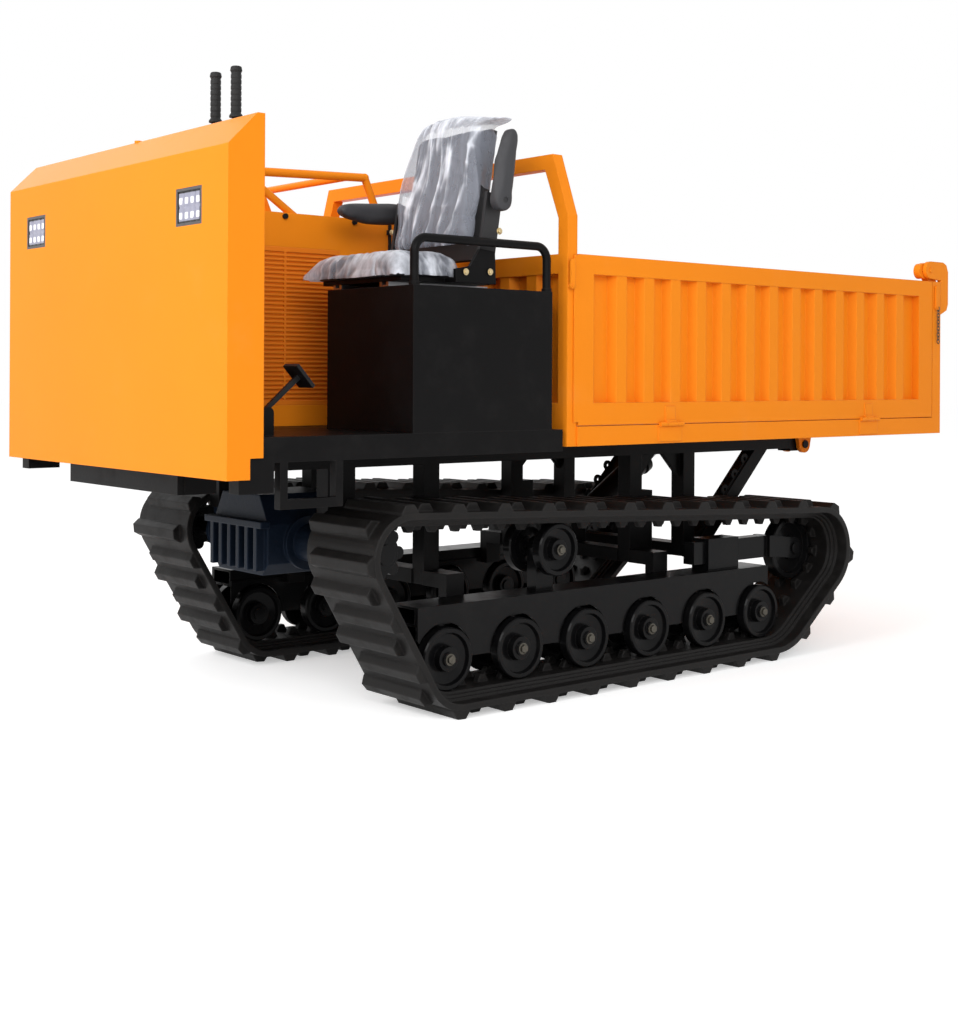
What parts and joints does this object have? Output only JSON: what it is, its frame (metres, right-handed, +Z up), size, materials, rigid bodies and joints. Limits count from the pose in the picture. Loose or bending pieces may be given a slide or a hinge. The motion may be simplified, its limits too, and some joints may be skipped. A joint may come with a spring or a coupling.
{
  "type": "tracked power carrier",
  "caption": "Rubber-tracked crawler carrier with a tipping cargo box, drop sides, a front shield, an operator's seat and an engine hood under a tube guard.",
  "frame": {"origin": "on the ground under the middle of the machine's box", "axes": "+Z up, -Y to the front of the machine, +X to its left side"},
  "size_m": [1.433, 3.294, 1.8585],
  "materials": {
    "orange_paint": "gloss enamel",
    "black_paint": "satin enamel",
    "bare_steel": "machined",
    "navy_casting": "painted casting",
    "grey_casting": "painted casting",
    "track_rubber": "matte",
    "grip_rubber": "matte",
    "seat_vinyl": "smooth vinyl",
    "seat_shell": "moulded",
    "lamp_plastic": "moulded",
    "lamp_glass": "clear"
  },
  "bodies": {
    "base": {"chassis_frame": "black_paint", "operator_platform": "black_paint", "front_shield": "orange_paint", "lamp_housings": "lamp_plastic", "lamp_lenses": "lamp_glass", "engine_hood": "orange_paint", "hood_grille": "orange_paint", "hood_guard": "orange_paint", "engine": "grey_casting", "gearbox": "navy_casting", "track_frame_left": "black_paint", "track_frame_right": "black_paint", "rubber_track_left": "track_rubber", "rubber_track_right": "track_rubber", "seat_box": "black_paint", "seat_handrail": "black_paint", "seat_rails": "bare_steel"},
    "tipping_box": {"cargo_bed": "orange_paint", "headboard": "orange_paint"},
    "side_left": {"drop_side_left": "orange_paint"},
    "side_right": {"drop_side_right": "orange_paint"},
    "rear_gate": {"tailgate": "orange_paint"},
    "latch_bar_left_front": {"latch_left_front": "orange_paint"},
    "latch_bar_left_rear": {"latch_left_rear": "orange_paint"},
    "latch_bar_right_front": {"latch_right_front": "orange_paint"},
    "latch_bar_right_rear": {"latch_right_rear": "orange_paint"},
    "barrel": {"cylinder_barrel": "black_paint"},
    "rod": {"cylinder_rod": "bare_steel"},
    "steering_left": {"lever_left": "bare_steel", "grip_left": "grip_rubber"},
    "steering_right": {"lever_right": "bare_steel", "grip_right": "grip_rubber"},
    "pedal": {"brake_pedal": "bare_steel"},
    "fan": {"cooling_fan": "bare_steel"},
    "drive_left": {"sprocket_left": "black_paint"},
    "yoke_left": {"tension_yoke_left": "black_paint"},
    "rear_wheel_left": {"idler_left": "black_paint"},
    "top_roller_left": {"carrier_roller_left": "black_paint"},
    "wheel_left_1": {"road_wheel_left_1": "black_paint"},
    "wheel_left_2": {"road_wheel_left_2": "black_paint"},
    "wheel_left_3": {"road_wheel_left_3": "black_paint"},
    "wheel_left_4": {"road_wheel_left_4": "black_paint"},
    "wheel_left_5": {"road_wheel_left_5": "black_paint"},
    "wheel_left_6": {"road_wheel_left_6": "black_paint"},
    "drive_right": {"sprocket_right": "black_paint"},
    "yoke_right": {"tension_yoke_right": "black_paint"},
    "rear_wheel_right": {"idler_right": "black_paint"},
    "top_roller_right": {"carrier_roller_right": "black_paint"},
    "wheel_right_1": {"road_wheel_right_1": "black_paint"},
    "wheel_right_2": {"road_wheel_right_2": "black_paint"},
    "wheel_right_3": {"road_wheel_right_3": "black_paint"},
    "wheel_right_4": {"road_wheel_right_4": "black_paint"},
    "wheel_right_5": {"road_wheel_right_5": "black_paint"},
    "wheel_right_6": {"road_wheel_right_6": "black_paint"},
    "seat": {"seat_pan": "black_paint", "seat_cushion": "seat_vinyl"},
    "backrest": {"seat_back": "seat_shell", "back_cushion": "seat_vinyl"},
    "arm_left": {"armrest_left": "seat_vinyl"},
    "arm_right": {"armrest_right": "seat_vinyl"}
  },
  "joints": [
    {"name": "tipping", "type": "hinge", "parent": "base", "child": "tipping_box", "pos_m": [0, 1.165, 0.738], "axis": [-1, 0, 0], "range_deg": [0, 40]},
    {"name": "barrel_swing", "type": "hinge", "parent": "base", "child": "barrel", "pos_m": [0, 0.226, 0.4254], "axis": [1, 0, 0], "range_deg": [0, 12.93]},
    {"name": "rod_slide", "type": "slide", "parent": "barrel", "child": "rod", "axis": [0, 0.8431, 0.5377], "range_m": [0, 0.2579]},
    {"name": "side_left_drop", "type": "hinge", "parent": "tipping_box", "child": "side_left", "pos_m": [0.709, 0.56, 0.847], "axis": [0, 1, 0], "range_deg": [0, 175]},
    {"name": "side_right_drop", "type": "hinge", "parent": "tipping_box", "child": "side_right", "pos_m": [-0.709, 0.56, 0.847], "axis": [0, -1, 0], "range_deg": [0, 175]},
    {"name": "tailgate_swing", "type": "hinge", "parent": "tipping_box", "child": "rear_gate", "pos_m": [0, 1.527, 1.429], "axis": [1, 0, 0], "range_deg": [0, 60]},
    {"name": "latch_left_front_turn", "type": "hinge", "parent": "tipping_box", "child": "latch_bar_left_front", "pos_m": [0.706, -0.43, 1.284], "axis": [-1, 0, 0], "range_deg": [0, 90]},
    {"name": "latch_left_rear_turn", "type": "hinge", "parent": "tipping_box", "child": "latch_bar_left_rear", "pos_m": [0.706, 1.558, 1.284], "axis": [1, 0, 0], "range_deg": [0, 90]},
    {"name": "latch_right_front_turn", "type": "hinge", "parent": "tipping_box", "child": "latch_bar_right_front", "pos_m": [-0.706, -0.43, 1.284], "axis": [-1, 0, 0], "range_deg": [0, 90]},
    {"name": "latch_right_rear_turn", "type": "hinge", "parent": "tipping_box", "child": "latch_bar_right_rear", "pos_m": [-0.706, 1.558, 1.284], "axis": [1, 0, 0], "range_deg": [0, 90]},
    {"name": "steering_left_pull", "type": "hinge", "parent": "base", "child": "steering_left", "pos_m": [0.45, -1.477, 0.958], "axis": [-1, 0, 0], "range_deg": [-2, 15]},
    {"name": "steering_right_pull", "type": "hinge", "parent": "base", "child": "steering_right", "pos_m": [0.338, -1.477, 0.958], "axis": [-1, 0, 0], "range_deg": [-2, 15]},
    {"name": "brake_press", "type": "hinge", "parent": "base", "child": "pedal", "pos_m": [0.56, -1.457, 0.898], "axis": [1, 0, 0], "range_deg": [-14, 0]},
    {"name": "fan_spin", "type": "hinge", "parent": "base", "child": "fan", "pos_m": [-0.345, -1.4, 1.168], "axis": [0, 1, 0], "continuous": true},
    {"name": "track_drive_left", "type": "hinge", "parent": "base", "child": "drive_left", "pos_m": [0.53, -1.046, 0.482], "axis": [1, 0, 0], "continuous": true},
    {"name": "track_tension_left", "type": "slide", "parent": "base", "child": "yoke_left", "axis": [0, 1, 0], "range_m": [-0.03, 0]},
    {"name": "idler_spin_left", "type": "hinge", "parent": "yoke_left", "child": "rear_wheel_left", "pos_m": [0.53, 0.848, 0.368], "axis": [1, 0, 0], "continuous": true},
    {"name": "top_roller_spin_left", "type": "hinge", "parent": "base", "child": "top_roller_left", "pos_m": [0.53, -0.4, 0.45495], "axis": [1, 0, 0], "continuous": true},
    {"name": "wheel_spin_left_1", "type": "hinge", "parent": "base", "child": "wheel_left_1", "pos_m": [0.53, -0.846, 0.1624], "axis": [1, 0, 0], "continuous": true},
    {"name": "wheel_spin_left_2", "type": "hinge", "parent": "base", "child": "wheel_left_2", "pos_m": [0.53, -0.558, 0.1624], "axis": [1, 0, 0], "continuous": true},
    {"name": "wheel_spin_left_3", "type": "hinge", "parent": "base", "child": "wheel_left_3", "pos_m": [0.53, -0.27, 0.1624], "axis": [1, 0, 0], "continuous": true},
    {"name": "wheel_spin_left_4", "type": "hinge", "parent": "base", "child": "wheel_left_4", "pos_m": [0.53, 0.018, 0.1624], "axis": [1, 0, 0], "continuous": true},
    {"name": "wheel_spin_left_5", "type": "hinge", "parent": "base", "child": "wheel_left_5", "pos_m": [0.53, 0.306, 0.1624], "axis": [1, 0, 0], "continuous": true},
    {"name": "wheel_spin_left_6", "type": "hinge", "parent": "base", "child": "wheel_left_6", "pos_m": [0.53, 0.594, 0.1624], "axis": [1, 0, 0], "continuous": true},
    {"name": "track_drive_right", "type": "hinge", "parent": "base", "child": "drive_right", "pos_m": [-0.53, -1.046, 0.482], "axis": [1, 0, 0], "continuous": true},
    {"name": "track_tension_right", "type": "slide", "parent": "base", "child": "yoke_right", "axis": [0, 1, 0], "range_m": [-0.03, 0]},
    {"name": "idler_spin_right", "type": "hinge", "parent": "yoke_right", "child": "rear_wheel_right", "pos_m": [-0.53, 0.848, 0.368], "axis": [1, 0, 0], "continuous": true},
    {"name": "top_roller_spin_right", "type": "hinge", "parent": "base", "child": "top_roller_right", "pos_m": [-0.53, -0.4, 0.45495], "axis": [1, 0, 0], "continuous": true},
    {"name": "wheel_spin_right_1", "type": "hinge", "parent": "base", "child": "wheel_right_1", "pos_m": [-0.53, -0.846, 0.1624], "axis": [1, 0, 0], "continuous": true},
    {"name": "wheel_spin_right_2", "type": "hinge", "parent": "base", "child": "wheel_right_2", "pos_m": [-0.53, -0.558, 0.1624], "axis": [1, 0, 0], "continuous": true},
    {"name": "wheel_spin_right_3", "type": "hinge", "parent": "base", "child": "wheel_right_3", "pos_m": [-0.53, -0.27, 0.1624], "axis": [1, 0, 0], "continuous": true},
    {"name": "wheel_spin_right_4", "type": "hinge", "parent": "base", "child": "wheel_right_4", "pos_m": [-0.53, 0.018, 0.1624], "axis": [1, 0, 0], "continuous": true},
    {"name": "wheel_spin_right_5", "type": "hinge", "parent": "base", "child": "wheel_right_5", "pos_m": [-0.53, 0.306, 0.1624], "axis": [1, 0, 0], "continuous": true},
    {"name": "wheel_spin_right_6", "type": "hinge", "parent": "base", "child": "wheel_right_6", "pos_m": [-0.53, 0.594, 0.1624], "axis": [1, 0, 0], "continuous": true},
    {"name": "seat_slide", "type": "slide", "parent": "base", "child": "seat", "axis": [0, 1, 0], "range_m": [-0.06, 0.04]},
    {"name": "backrest_recline", "type": "hinge", "parent": "seat", "child": "backrest", "pos_m": [0.4, -0.737, 1.332], "axis": [-1, 0, 0], "range_deg": [-12, 25]},
    {"name": "armrest_left_fold", "type": "hinge", "parent": "backrest", "child": "arm_left", "pos_m": [0.665, -0.69003, 1.53009], "axis": [1, 0, 0], "range_deg": [0, 98]},
    {"name": "armrest_right_fold", "type": "hinge", "parent": "backrest", "child": "arm_right", "pos_m": [0.135, -0.69003, 1.53009], "axis": [-1, 0, 0], "range_deg": [0, 98]}
  ],
  "couplings": [
    {"joint": "idler_spin_left", "follows": "track_drive_left", "ratio": 0.73883},
    {"joint": "top_roller_spin_left", "follows": "track_drive_left", "ratio": 1.0118},
    {"joint": "wheel_spin_left_1", "follows": "track_drive_left", "ratio": 0.91102},
    {"joint": "wheel_spin_left_2", "follows": "track_drive_left", "ratio": 0.91102},
    {"joint": "wheel_spin_left_3", "follows": "track_drive_left", "ratio": 0.91102},
    {"joint": "wheel_spin_left_4", "follows": "track_drive_left", "ratio": 0.91102},
    {"joint": "wheel_spin_left_5", "follows": "track_drive_left", "ratio": 0.91102},
    {"joint": "wheel_spin_left_6", "follows": "track_drive_left", "ratio": 0.91102},
    {"joint": "idler_spin_right", "follows": "track_drive_right", "ratio": 0.73883},
    {"joint": "top_roller_spin_right", "follows": "track_drive_right", "ratio": 1.0118},
    {"joint": "wheel_spin_right_1", "follows": "track_drive_right", "ratio": 0.91102},
    {"joint": "wheel_spin_right_2", "follows": "track_drive_right", "ratio": 0.91102},
    {"joint": "wheel_spin_right_3", "follows": "track_drive_right", "ratio": 0.91102},
    {"joint": "wheel_spin_right_4", "follows": "track_drive_right", "ratio": 0.91102},
    {"joint": "wheel_spin_right_5", "follows": "track_drive_right", "ratio": 0.91102},
    {"joint": "wheel_spin_right_6", "follows": "track_drive_right", "ratio": 0.91102},
    {"joint": "barrel_swing", "follows": "tipping", "ratio": 0.31823},
    {"joint": "rod_slide", "follows": "tipping", "m_per_rad": 0.36656}
  ]
}
